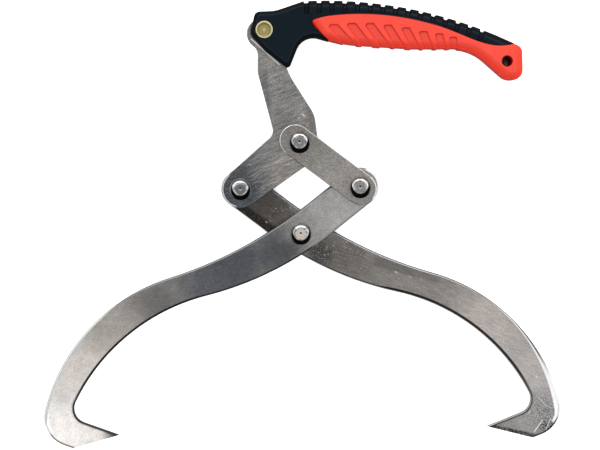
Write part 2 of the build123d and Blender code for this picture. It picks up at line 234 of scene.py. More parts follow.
def mouldedSkinGroup():
    # fine spark-eroded grain of a moulded part, with a few rubbed patches
    tree, inside, outside = makeGroup(
        "mouldedSkin",
        [("Vector", "NodeSocketVector", None), ("Scale", "NodeSocketFloat", 2500.0)],
        [("Grain", "NodeSocketFloat"), ("Rubbed", "NodeSocketFloat")],
    )
    vector, scale = inside.outputs["Vector"], inside.outputs["Scale"]
    patchScale = math2(tree, "MULTIPLY", scale, 0.02)
    patches = noise(tree, vector, patchScale, detail=4.0, roughness=0.6)
    feed(tree, noise(tree, vector, scale, detail=2.0, roughness=0.5), outside.inputs["Grain"])
    feed(tree, rampMask(tree, patches, low=0.45, high=0.7), outside.inputs["Rubbed"])
    return tree


groups = {
    "grain": steelGrainGroup(),
    "scratches": scratchesGroup(),
    "specks": specksGroup(),
    "slope": slopeGroup(),
    "skin": mouldedSkinGroup(),
}


def place(tree, groupName, **inputs):
    node = tree.nodes.new("ShaderNodeGroup")
    node.node_tree = groups[groupName]
    for socketName, value in inputs.items():
        feed(tree, value, node.inputs[socketName])
    return node.outputs


def newMaterial(name):
    material = bpy.data.materials.new(name)
    material.use_nodes = True
    tree = material.node_tree
    shader = tree.nodes["Principled BSDF"]
    return material, tree, shader


def bump(tree, shader, height, strength):
    depth = 0.0001       # metres, for every surface here
    node = tree.nodes.new("ShaderNodeBump")
    node.inputs["Strength"].default_value = strength
    node.inputs["Distance"].default_value = depth
    feed(tree, height, node.inputs["Height"])
    feed(tree, node.outputs["Normal"], shader.inputs["Normal"])


# steel plates
steelPattern = {
    "softScale": 45.0, "patchWander": 0.8, "patchCore": 0.2, "spotCore": 0.4, "stripCore": 0.4,
    "warmScale": 110.0, "warmFrom": (0.38, 0.62), "mottleScale": 800.0, "mottleFrom": (0.43, 0.55),
    "brokenScale": 700.0, "brokenFrom": (0.36, 0.56),
    "scratchLength": 28, "spotStrength": 0.9, "bandFade": 0.1, "bandStrength": 0.92,
    "pitScale": 1.6, "pitStrength": 0.6, "chipRough": 0.25, "grainHeight": 0.5, "markHeight": 0.6,
}


def planDistance(tree, coords, x, y):
    flat = vectorMath(tree, "MULTIPLY", vectorMath(tree, "SUBTRACT", coords, (x, y, 0)), (1, 1, 0))
    return vectorMath(tree, "LENGTH", flat)


def edgeBand(tree, coords, band):
    # strip along a circle, fading in from one radius to another, between two angles about its middle
    local = vectorMath(tree, "SUBTRACT", coords, (band["x"], band["y"], 0))
    split = tree.nodes.new("ShaderNodeSeparateXYZ")
    feed(tree, local, split.inputs[0])
    outwards = math2(tree, "MULTIPLY", split.outputs["X"], band["hand"])
    angle = math2(tree, "ARCTAN2", split.outputs["Y"], outwards)
    far = planDistance(tree, coords, band["x"], band["y"])
    mask = rampMask(tree, far, band["fadeFrom"], band["fullAt"])
    fade = steelPattern["bandFade"]
    mask = math2(tree, "MULTIPLY", mask, rampMask(tree, angle, band["high"] + fade, band["high"] - fade))
    return math2(tree, "MULTIPLY", mask, rampMask(tree, angle, band["low"] - fade, band["low"] + fade))


def straightStrip(tree, coords, start, end, width):
    # soft-edged straight mark between two places, seen from above
    run = Vector((end[0] - start[0], end[1] - start[1], 0))
    length = run.length
    run.normalize()
    local = vectorMath(tree, "SUBTRACT", coords, (start[0], start[1], 0))
    along = vectorMath(tree, "DOT_PRODUCT", local, run)
    across = math2(tree, "ABSOLUTE", vectorMath(tree, "DOT_PRODUCT", local, (-run.y, run.x, 0)))
    mask = rampMask(tree, across, width, width * steelPattern["stripCore"])
    mask = math2(tree, "MULTIPLY", mask, rampMask(tree, along, -width, width))
    return math2(tree, "MULTIPLY", mask, rampMask(tree, along, length + width, length - width))


def strippedFace(tree, coords, face, strips):
    # straight marks: start and end in metres, width, tone, strength and how broken
    for start, end, width, tone, strength, mottle in strips:
        broken = noise(tree, coords, steelPattern["brokenScale"], detail=3.0, roughness=0.6)
        broken = rampMask(tree, broken, *steelPattern["brokenFrom"])
        strip = math2(tree, "MULTIPLY", straightStrip(tree, coords, start, end, width), strength)
        face = tint(tree, strip, mixValue(tree, mottle, 1.0, broken), face, tone)
    return face


def steelMaterial(name, look):
    material, tree, shader = newMaterial(name)
    coords = objectCoords(tree)
    along = turnedStretched(tree, coords, look["grainAngle"], (look["grainLength"], 1, 1))
    grain = place(tree, "grain", Vector=coords, Stretched=along, Scale=look["grainScale"])
    soft = noise(tree, coords, steelPattern["softScale"], detail=4.0, roughness=0.6)
    warm = noise(tree, coords, steelPattern["warmScale"], detail=4.0, roughness=0.65)
    warm = rampMask(tree, warm, *steelPattern["warmFrom"])
    chips = place(tree, "specks", Vector=coords, Scale=look["chipScale"], Amount=look["chips"])
    pits = place(tree, "specks", Vector=along, Scale=look["chipScale"] * steelPattern["pitScale"],
                 Amount=look["pits"])
    slope = place(tree, "slope", Start=look["edgeStart"], End=look["edgeEnd"], Middle=look["middle"])

    # soft spots of another tone, partly the steel's own and partly painted reflection and painted shade where
    # the flats catch or miss the lamps: x, y and reach in metres, tone, strength and how mottled
    face = look["tone"]
    for x, y, reach, tone, strength, mottle in look["patches"]:
        wander = math2(tree, "SUBTRACT", soft, 0.5)
        wander = math2(tree, "MULTIPLY", wander, reach * steelPattern["patchWander"])
        far = math2(tree, "ADD", planDistance(tree, coords, x, y), wander)
        near = rampMask(tree, far, reach, reach * steelPattern["patchCore"])
        near = math2(tree, "MULTIPLY", near, strength)
        if mottle:
            speckled = noise(tree, coords, steelPattern["mottleScale"], detail=4.0, roughness=0.7)
            speckled = rampMask(tree, speckled, *steelPattern["mottleFrom"])
            near = math2(tree, "MULTIPLY", near, mixValue(tree, mottle, 1.0, speckled))
        face = mixColour(tree, near, face, tone)
    level = 1.0 - look["grainDepth"] - look["streakDepth"] - look["blotchDepth"]
    depths = {"Grain": "grainDepth", "Streaks": "streakDepth", "Blotches": "blotchDepth"}
    for outputName, depth in depths.items():
        level = math2(tree, "ADD", math2(tree, "MULTIPLY", grain[outputName], 2 * look[depth]), level)
    face = vectorMath(tree, "SCALE", face, scale=level)
    face = vectorMath(tree, "MULTIPLY", face, mixColour(tree, warm, look["cool"], look["warm"]))
    marks = None
    for angle in look["scratchAngles"]:
        run = turnedStretched(tree, coords, angle, (steelPattern["scratchLength"], 1, 1))
        lines = place(tree, "scratches", Vector=run, Scale=look["scratchScale"], Amount=look["scratches"])
        marks = lines["Mask"] if marks is None else math2(tree, "MAXIMUM", marks, lines["Mask"])
    x, y, reach = look["scratchedSpot"]
    inSpot = rampMask(tree, planDistance(tree, coords, x, y), reach, reach * steelPattern["spotCore"])
    worn = mixValue(tree, inSpot, look["markDepth"], steelPattern["spotStrength"])
    face = tint(tree, marks, worn, face, look["mark"])
    face = mixColour(tree, chips["Mask"], face, look["chip"])
    face = tint(tree, pits["Mask"], steelPattern["pitStrength"], face, look["pit"])
    face = strippedFace(tree, coords, face, look["strips"])
    # edges painted by the way they face: inner edges dark, a painted shade; outer edges in each look's own
    # edge tone, bright on the link as a painted highlight
    edgeTone = mixColour(tree, slope["Outer"], look["innerEdge"], look["outerEdge"])
    rimTone = mixColour(tree, slope["Outer"], look["innerRim"], look["outerRim"])
    face = mixColour(tree, slope["Edge"], face, mixColour(tree, slope["Rim"], edgeTone, rimTone))
    face = strippedFace(tree, coords, face, look["edgeStrips"])
    for band in look["bands"]:
        shown = edgeBand(tree, coords, band)
        if not band["overRim"]:
            shown = math2(tree, "MULTIPLY", shown, math2(tree, "SUBTRACT", 1.0, slope["Rim"]))
        face = tint(tree, shown, steelPattern["bandStrength"], face, band["tone"])
    face = mixColour(tree, slope["Wall"], face, vectorMath(tree, "SCALE", look["wall"], scale=level))
    feed(tree, face, shader.inputs["Base Color"])

    rough = mixValue(tree, grain["Streaks"], look["roughLow"], look["roughHigh"])
    rough = math2(tree, "ADD", rough, math2(tree, "MULTIPLY", chips["Mask"], steelPattern["chipRough"]))
    rough = mixValue(tree, slope["Edge"], rough, look["roughEdge"])
    feed(tree, rough, shader.inputs["Roughness"])
    shader.inputs["Metallic"].default_value = 1.0
    height = math2(tree, "MULTIPLY", grain["Grain"], steelPattern["grainHeight"])
    height = math2(tree, "ADD", height, grain["Streaks"])
    height = math2(tree, "SUBTRACT", height, math2(tree, "MULTIPLY", marks, steelPattern["markHeight"]))
    bump(tree, shader, height, look["bump"])
    return material


def jawBands(hand, overRim, shadeWidth, bowEnd):
    # painted highlight strip on the outer edge, along the bow and round the heel, a painted shade strip on
    # the inner bow, and a painted highlight on the round end by the side rivet
    bright = {"hand": hand, "tone": grey(0.97), "overRim": overRim}
    return [
        dict(bright, x=hand * 0.0611, y=-0.174, low=-0.5, high=bowEnd, fadeFrom=0.1457, fullAt=0.1469),
        dict(bright, x=hand * 0.1842, y=-0.144, low=-0.6, high=0.3, fadeFrom=0.0194, fullAt=0.0206),
        {"x": hand * 0.0394, "y": -0.2051, "hand": hand, "low": 0.5, "high": 1.3, "tone": grey(0.012),
         "fadeFrom": 0.1612 + shadeWidth, "fullAt": 0.1608 + shadeWidth, "overRim": False},
        {"x": -hand * 0.0482, "y": 0.037, "hand": -hand, "low": -0.9, "high": 1.2, "tone": grey(0.95),
         "fadeFrom": 0.0134, "fullAt": 0.0142, "overRim": True},
    ]


def rightJawBands():
    # here the painted highlight strip starts thin by the neck and widens to the heel, with more painted
    # highlight between the bow and the heel, inside a painted dark line along the outer corner
    bow, heel, innerBow, roundEnd = jawBands(1, False, 0.0026, 1.0)
    widening = dict(bow, x=0.06555, y=-0.16625, fadeFrom=0.1386, fullAt=0.1396)
    shadeLineBand = {"hand": 1, "tone": grey(0.015), "overRim": True}
    highlightBand = dict(shadeLineBand, tone=grey(0.9))
    return [
        widening, heel, dict(innerBow, high=1.6), roundEnd,
        dict(highlightBand, x=0.0611, y=-0.174, low=0.0, high=0.4, fadeFrom=0.1468, fullAt=0.1476),
        dict(highlightBand, x=0.1838, y=-0.1434, low=-0.4, high=0.6, fadeFrom=0.0216, fullAt=0.0224),
        dict(shadeLineBand, x=0.0611, y=-0.174, low=0.45, high=1.1, fadeFrom=0.1479, fullAt=0.1485),
        dict(shadeLineBand, x=0.1838, y=-0.1434, low=-1.5, high=-0.4, fadeFrom=0.0228, fullAt=0.0234),
    ]


jawLook = {
    "grainAngle": 0.5, "grainLength": 3.0, "grainScale": 1000.0,
    "grainDepth": 0.17, "streakDepth": 0.09, "blotchDepth": 0.08,
    "scratchAngles": (0.3, 1.0), "scratchScale": 1500.0, "scratches": 0.25, "markDepth": 0.12,
    "scratchedSpot": (-0.19, -0.15, 0.02),
    "chipScale": 1300.0, "chips": 0.25, "pits": 0.3,
    "tone": (0.34, 0.335, 0.325, 1), "mark": grey(0.8), "chip": grey(0.85), "pit": grey(0.06),
    "warm": (1.0, 0.955, 0.915, 1), "cool": (0.985, 0.98, 0.975, 1),
    "outerEdge": grey(0.16), "innerEdge": grey(0.02), "outerRim": grey(0.2), "innerRim": grey(0.03),
    "wall": (0.3, 0.298, 0.292),
    "edgeStart": 0.985, "edgeEnd": 0.85, "middle": (0.0, -0.11, 0.0126),
    "bands": jawBands(-1, True, 0.0018, 0.15) + [
        # a softer painted highlight along the left jaw's outer bow
        {"x": -0.0611, "y": -0.174, "hand": -1, "low": 0.1, "high": 0.9, "tone": grey(0.62),
         "fadeFrom": 0.1468, "fullAt": 0.1478, "overRim": True},
    ],
    "strips": [],
    "edgeStrips": [((0.0568, 0.0245), (0.0105, -0.0112), 0.0032, (0.36, 0.358, 0.35, 1), 0.9, 0.3)],
    "roughLow": 0.3, "roughHigh": 0.4, "roughEdge": 0.32, "bump": 0.12,
    "patches": [
        (0.035, 0.024, 0.05, (0.53, 0.53, 0.53, 1), 0.9, 0.0),
        (-0.03, -0.01, 0.03, (0.25, 0.265, 0.275, 1), 0.6, 0.0),
        (-0.0175, -0.0185, 0.027, (0.085, 0.09, 0.097, 1), 0.85, 0.0),
        (-0.062, -0.03, 0.074, (0.105, 0.116, 0.132, 1), 0.97, 0.0),
        (-0.085, -0.045, 0.03, (0.19, 0.2, 0.215, 1), 0.5, 0.8),
        (-0.118, -0.056, 0.034, (0.17, 0.167, 0.162, 1), 0.85, 0.0),
        (-0.15, -0.08, 0.04, (0.42, 0.4, 0.378, 1), 0.85, 0.0),
        (-0.185, -0.11, 0.05, (0.67, 0.642, 0.62, 1), 0.9, 0.0),
        (-0.19, -0.155, 0.05, (0.88, 0.868, 0.856, 1), 0.95, 0.0),
        (-0.168, -0.085, 0.014, (0.44, 0.405, 0.375, 1), 0.5, 0.5),
        (-0.1485, -0.159, 0.014, (0.07, 0.08, 0.09, 1), 0.95, 0.0),
    ],
}
rightJawLook = dict(
    jawLook, grainAngle=-0.35, grainLength=6.0, grainDepth=0.2, streakDepth=0.14,
    tone=(0.31, 0.3, 0.29, 1), warm=(1.0, 0.95, 0.91, 1), cool=(1.0, 0.965, 0.945, 1),
    chips=0.55, pits=0.4, scratchAngles=(0.95,), scratchedSpot=(0.192, -0.145, 0.035), scratches=0.3,
    outerEdge=grey(0.28), outerRim=grey(0.04), innerRim=grey(0.45), edgeStart=0.99, edgeEnd=0.9,
    bands=rightJawBands(),
    edgeStrips=[],
    strips=[
        ((0.1505, -0.1588), (0.186, -0.1672), 0.0026, grey(0.015), 0.95, 0.6),
        # painted shadow along the lower left edge of the arm above the crossing
        ((-0.055, 0.0262), (-0.012, -0.0066), 0.007, grey(0.012), 0.85, 0.35),
        ((0.0594, -0.023), (0.1116, -0.0385), 0.006, (0.12, 0.118, 0.115, 1), 0.55, 0.2),
        ((0.1865, -0.164), (0.1935, -0.1545), 0.0005, grey(0.9), 0.9, 0.4),
        ((0.196, -0.1625), (0.2, -0.153), 0.0005, grey(0.85), 0.8, 0.5),
        ((0.1905, -0.137), (0.197, -0.1435), 0.0004, grey(0.8), 0.7, 0.5),
        ((0.0754, -0.0322), (0.0774, -0.033), 0.0008, grey(0.75), 0.8, 0.3),
        ((0.0866, -0.0362), (0.0882, -0.0371), 0.0006, grey(0.7), 0.7, 0.3),
        ((0.095, -0.047), (0.0956, -0.0476), 0.0007, grey(0.6), 0.6, 0.3),
        ((0.0962, -0.0381), (0.0972, -0.0387), 0.0005, grey(0.7), 0.6, 0.3),
        ((0.1883, -0.1185), (0.1893, -0.1199), 0.0008, grey(0.85), 0.7, 0.4),
        ((-0.028, 0.0099), (-0.0266, 0.0093), 0.0008, (0.5, 0.46, 0.42, 1), 0.8, 0.3),
    ],
    patches=[
        (-0.035, 0.025, 0.06, (0.085, 0.08, 0.077, 1), 0.95, 0.0),
        (-0.025, 0.012, 0.022, (0.13, 0.115, 0.1, 1), 0.7, 0.7),
        (0.035, -0.018, 0.04, (0.17, 0.165, 0.155, 1), 0.9, 0.0),
        (0.07, -0.032, 0.03, (0.27, 0.265, 0.255, 1), 0.7, 0.0),
        # painted shadow of the left arm on the right jaw just past the crossing
        (0.0145, -0.016, 0.021, (0.06, 0.057, 0.055, 1), 0.9, 0.0),
        (0.15, -0.075, 0.05, (0.53, 0.505, 0.495, 1), 0.9, 0.0),
        (0.185, -0.11, 0.035, (0.475, 0.46, 0.45, 1), 0.8, 0.0),
        (0.19, -0.145, 0.04, (0.44, 0.44, 0.445, 1), 0.9, 0.0),
        (0.197, -0.15, 0.026, (0.09, 0.105, 0.12, 1), 0.75, 1.0),
        (0.17, -0.155, 0.025, (0.2, 0.21, 0.22, 1), 0.6, 0.9),
        (0.197, -0.16, 0.012, (0.025, 0.033, 0.04, 1), 0.85, 0.7),
    ],
)
hangerLook = dict(
    jawLook, grainAngle=0.42, grainLength=7.0, grainScale=900.0, grainDepth=0.36, streakDepth=0.26,
    tone=(0.3, 0.298, 0.294, 1), chips=0.42, bump=0.2, edgeEnd=0.6,
    scratchAngles=(0.5, 0.3), scratches=0.3, scratchedSpot=(-0.02, 0.055, 0.03),
    outerEdge=grey(0.25), innerEdge=grey(0.08), outerRim=grey(0.2), innerRim=grey(0.06),
    middle=(0.0, 0.0, 0.0126),
    bands=[
        # painted highlight round the hanger's left end, and a painted dark outline just outside it
        {"x": -0.0476, "y": 0.0365, "hand": -1, "low": -1.3, "high": 0.9, "tone": grey(0.95),
         "fadeFrom": 0.0134, "fullAt": 0.0139, "overRim": True},
        {"x": -0.0476, "y": 0.0365, "hand": -1, "low": -1.3, "high": 0.9, "tone": grey(0.12),
         "fadeFrom": 0.0142, "fullAt": 0.0146, "overRim": True},
    ],
    edgeStrips=[],
    strips=[
        # painted highlight: a thin bright line beside the handle's lower cheek edge
        ((-0.0372, 0.1561), (-0.0147, 0.135), 0.0008, grey(0.95), 0.95, 0.2),
        ((-0.0288, 0.131), (-0.0258, 0.082), 0.006, (0.12, 0.125, 0.13, 1), 0.55, 0.4),
        ((-0.0268, 0.078), (-0.0455, 0.0575), 0.005, (0.13, 0.135, 0.14, 1), 0.5, 0.4),
        ((0.0105, 0.104), (0.0125, 0.08), 0.006, (0.14, 0.14, 0.14, 1), 0.55, 0.4),
        ((0.0025, 0.0958), (0.0048, 0.0936), 0.0009, grey(0.9), 0.8, 0.4),
        ((-0.0008, 0.0931), (0.001, 0.0916), 0.0007, grey(0.8), 0.7, 0.5),
        ((-0.0024, 0.0879), (-0.0013, 0.0848), 0.0006, grey(0.8), 0.7, 0.4),
        ((-0.0402, 0.0562), (-0.0391, 0.0551), 0.0007, grey(0.6), 0.6, 0.4),
    ],
    patches=[
        (-0.054, 0.035, 0.046, (0.075, 0.09, 0.11, 1), 0.95, 0.15),
        (-0.03, 0.06, 0.02, (0.26, 0.265, 0.275, 1), 0.6, 0.3),
        (-0.012, 0.055, 0.022, (0.4, 0.37, 0.345, 1), 0.7, 0.2),
        (-0.012, 0.125, 0.03, (0.33, 0.33, 0.328, 1), 0.6, 0.3),
        (0.008, 0.09, 0.02, (0.42, 0.41, 0.4, 1), 0.6, 0.6),
        (-0.028, 0.125, 0.028, (0.5, 0.5, 0.49, 1), 0.55, 1.0),
    ],
)
linkLook = dict(
    jawLook, grainAngle=-0.6, grainDepth=0.34, tone=(0.36, 0.35, 0.34, 1), chips=0.3, bump=0.1, edgeEnd=0.6,
    edgeStrips=[], outerEdge=grey(0.85), innerEdge=grey(0.1), outerRim=grey(0.7), innerRim=grey(0.06),
    middle=(0.06, 0.0, 0.0192), scratchedSpot=(0.03, 0.05, 0.01),
    bands=[
        # painted highlights round the link's two rounded ends
        {"x": -0.0033, "y": 0.0747, "hand": -1, "low": -0.9, "high": 1.2, "tone": grey(0.7),
         "fadeFrom": 0.0115, "fullAt": 0.0122, "overRim": True},
        {"x": 0.0483, "y": 0.0351, "hand": 1, "low": -0.7, "high": 0.9, "tone": grey(0.95),
         "fadeFrom": 0.0112, "fullAt": 0.0121, "overRim": True},
    ],
    patches=[
        (0.0, 0.075, 0.03, (0.25, 0.24, 0.23, 1), 0.6, 0.3),
        (0.03, 0.05, 0.025, (0.42, 0.405, 0.39, 1), 0.8, 0.2),
        (0.055, 0.03, 0.02, (0.34, 0.33, 0.32, 1), 0.7, 0.3),
    ],
)
plateLooks = {
    "left_jaw": jawLook,
    "right_jaw": rightJawLook,
    "hanger_plate": hangerLook,
    "side_link": linkLook,
}


# turned parts: rivets, washers and the brass rivet of the handle
turnedPattern = {"soft": 0.0002, "spread": (0.35, 0.65), "glintFrom": (0.4, 0.6)}


def turnedMaterial(name, centre, look):
    material, tree, shader = newMaterial(name)
    coords = objectCoords(tree)
    soft = turnedPattern["soft"]     # how softly one ring meets the next, in metres
    radius = planDistance(tree, coords, centre.x, centre.y)
    rings = noise(tree, combine(tree, radius, 0.0, 0.0), look["ringScale"], detail=3.0)
    grain = noise(tree, coords, look["grainScale"], detail=4.0, roughness=0.7)
    tone = math2(tree, "ADD", math2(tree, "MULTIPLY", rings, 0.5), math2(tree, "MULTIPLY", grain, 0.5))
    spread = rampMask(tree, tone, *turnedPattern["spread"])
    glints = noise(tree, coords, look["glintScale"], detail=2.0, roughness=0.5)
    glints = rampMask(tree, glints, *turnedPattern["glintFrom"])
    spun = math2(tree, "MULTIPLY", math2(tree, "ADD", spread, glints), 0.5)
    # the ring round the flat top takes the look's spun tones; on the rivet heads it is painted far lighter
    # than the top, a painted highlight over the turning marks
    ring = mixColour(tree, spun, look["dark"], look["light"])
    disc = mixColour(tree, spread, look["discDark"], look["discLight"])
    aroundDisc = rampMask(tree, radius, look["discRadius"] - soft, look["discRadius"] + soft)
    face = mixColour(tree, aroundDisc, disc, ring)
    if look["lineRadius"]:
        away = math2(tree, "ABSOLUTE", math2(tree, "SUBTRACT", radius, look["lineRadius"]))
        face = mixColour(tree, rampMask(tree, away, 2 * soft, soft), face, look["line"])
    spotRadius, spotSoft = look["spotRadius"], look["spotSoft"]
    spot = rampMask(tree, radius, spotRadius + spotSoft, spotRadius - spotSoft)
    face = tint(tree, spot, look["spotStrength"], face, look["chip"])
    chips = place(tree, "specks", Vector=coords, Scale=look["chipScale"], Amount=look["chips"])
    face = mixColour(tree, chips["Mask"], face, look["chip"])
    # painted shade at the foot of the head, more on the side towards the jaws, and a painted shadow just
    # outside the head on that side, black, dull and not metallic
    split = tree.nodes.new("ShaderNodeSeparateXYZ")
    feed(tree, tree.nodes.new("ShaderNodeTexCoord").outputs["Normal"], split.inputs[0])
    sunk = math2(tree, "ADD", math2(tree, "ABSOLUTE", split.outputs["Z"]),
                 math2(tree, "MULTIPLY", split.outputs["Y"], look["paintedShadeRun"]))
    steep = rampMask(tree, sunk, look["paintedShadeStart"], look["paintedShadeStart"] - look["paintedShadeSoft"])
    sagX, sagY = look["paintedShadeSag"]
    below = planDistance(tree, coords, centre.x + sagX, centre.y - sagY)
    paintedShadowBelow = rampMask(tree, below, look["paintedShadeReach"], look["paintedShadeReach"] - 2 * soft)
    outside = rampMask(tree, radius, look["headRadius"] - soft, look["headRadius"])
    paintedShade = math2(tree, "MAXIMUM", steep, math2(tree, "MULTIPLY", paintedShadowBelow, outside))
    face = mixColour(tree, paintedShade, face, look["paintedShade"])
    feed(tree, face, shader.inputs["Base Color"])
    rough = mixValue(tree, spread, look["roughLow"], look["roughHigh"])
    feed(tree, mixValue(tree, paintedShade, rough, look["paintedShadeRough"]), shader.inputs["Roughness"])
    feed(tree, math2(tree, "SUBTRACT", 1.0, paintedShade), shader.inputs["Metallic"])
    shader.inputs["Specular IOR Level"].default_value = 0.0
    bump(tree, shader, tone, look["bump"])
    return material


rivetLook = {
    "ringScale": 2200.0, "grainScale": 1500.0, "glintScale": 260.0, "dark": grey(0.14), "light": grey(0.9),
    "chip": grey(0.8), "chipScale": 1100.0, "chips": 0.35,
    "discDark": grey(0.2), "discLight": grey(0.46), "discRadius": 0.0041, "lineRadius": 0.0,
    "spotRadius": 0.0013, "spotSoft": 0.0003, "spotStrength": 0.5,
    # painted shade at the head's foot and its painted shadow: tone, start on the slope, lean, softness,
    # dullness, offset and reach
    "paintedShade": grey(0.004), "paintedShadeStart": 0.92, "paintedShadeSoft": 0.12, "paintedShadeRun": 0.9, "paintedShadeRough": 0.7,
    "paintedShadeSag": (0.0002, 0.0009), "paintedShadeReach": 0.0079, "headRadius": 0.0074,
    "roughLow": 0.14, "roughHigh": 0.26, "bump": 0.12,
}
warmRivetLook = dict(rivetLook, discDark=(0.78, 0.68, 0.58, 1), discLight=(0.98, 0.88, 0.77, 1))
washerLook = dict(
    rivetLook, light=grey(0.26), paintedShadeStart=0.6, paintedShadeRun=0.4, roughLow=0.2, roughHigh=0.32,
)
# brass rivet: its cup is painted darker than the flared ring, with a darker line painted round the cup's
# edge, painted shade in the hollow
brassLook = dict(
    rivetLook, dark=(0.9, 0.8, 0.4, 1), light=(0.98, 0.93, 0.62, 1), chip=(0.95, 0.88, 0.55, 1),
    discDark=(0.44, 0.36, 0.12, 1), discLight=(0.62, 0.53, 0.22, 1), discRadius=0.0049,
    lineRadius=0.0053, line=(0.3, 0.24, 0.07, 1),
    paintedShade=(0.04, 0.032, 0.012, 1), paintedShadeStart=0.9, paintedShadeRun=0.0, paintedShadeReach=0.0,
    roughLow=0.24, roughHigh=0.36,
)


# thin nylon discs between the plates
def nylonMaterial():
    look = {"dark": grey(0.03), "light": grey(0.07), "rough": 0.55, "grainScale": 1500.0, "bump": 0.1}
    material, tree, shader = newMaterial("darkNylon")
    skin = place(tree, "skin", Vector=objectCoords(tree), Scale=look["grainScale"])
    feed(tree, mixColour(tree, skin["Grain"], look["dark"], look["light"]), shader.inputs["Base Color"])
    shader.inputs["Roughness"].default_value = look["rough"]
    bump(tree, shader, skin["Grain"], look["bump"])
    return material


# moulded handle: floors of the pads lie lower than the grip's flat sides
mouldPattern = {
    "hollow": (0.497, 0.46), "raised": (0.52, 0.6), "flat": (0.99, 0.96), "upright": (0.5, 0.2),
    "rubbedTint": 0.3, "padTint": 0.8, "sideTint": 0.9, "rimTint": 0.7, "hollowTint": 0.85, "raisedTint": 0.3,
    "padDepth": 0.0004, "padSoft": 0.0003,
    "holeShade": (0.5, 0.012, 0.012, 1), "holeReach": 0.0046, "holeSoft": 0.0002,
}
blackLook = {
    "hollowShade": (0.0004, 0.0006, 0.001, 1), "body": (0.0014, 0.006, 0.012, 1), "rubbedAndHighlight": (0.01, 0.018, 0.026, 1),
    "crease": (0.012, 0.022, 0.033, 1), "creaseStart": 0.999, "creaseEnd": 0.97, "creaseDepth": 0.5,
    "side": (0.0006, 0.001, 0.0018, 1), "sideEnd": 0.85, "sideRough": 0.8, "pad": (0.0022, 0.0075, 0.014, 1),
    "rim": (0.0006, 0.001, 0.0018, 1), "seam": None, "plain": ((0.0125, 0.18), (0.012, 0.167), 0.0036),
    "roughLow": 0.36, "roughHigh": 0.5, "shine": 0.11, "grainScale": 2600.0, "bump": 0.1,
}
redLook = {
    "hollowShade": (0.42, 0.012, 0.007, 1), "body": (0.93, 0.075, 0.048, 1), "rubbedAndHighlight": (0.97, 0.105, 0.07, 1),
    "crease": (0.66, 0.036, 0.022, 1), "creaseStart": 0.9995, "creaseEnd": 0.99, "creaseDepth": 0.3,
    "side": (1.0, 0.034, 0.01, 1), "sideEnd": 0.75, "sideRough": 0.6, "pad": (0.82, 0.068, 0.046, 1),
    "rim": (0.42, 0.03, 0.026, 1), "plain": None,
    "seam": {"x": 0.0465, "y": -0.0315, "hand": 1, "low": 1.22, "high": 1.8, "tone": (0.004, 0.003, 0.004, 1),
             "fadeFrom": 0.2046, "fullAt": 0.2051},
    "roughLow": 0.45, "roughHigh": 0.58, "shine": 0.24, "grainScale": 2200.0, "bump": 0.1,
}
hangHole = next(mount["pos_m"][:2] for mount in frame["record"]["mounts"] if mount["name"] == "hang_hole")


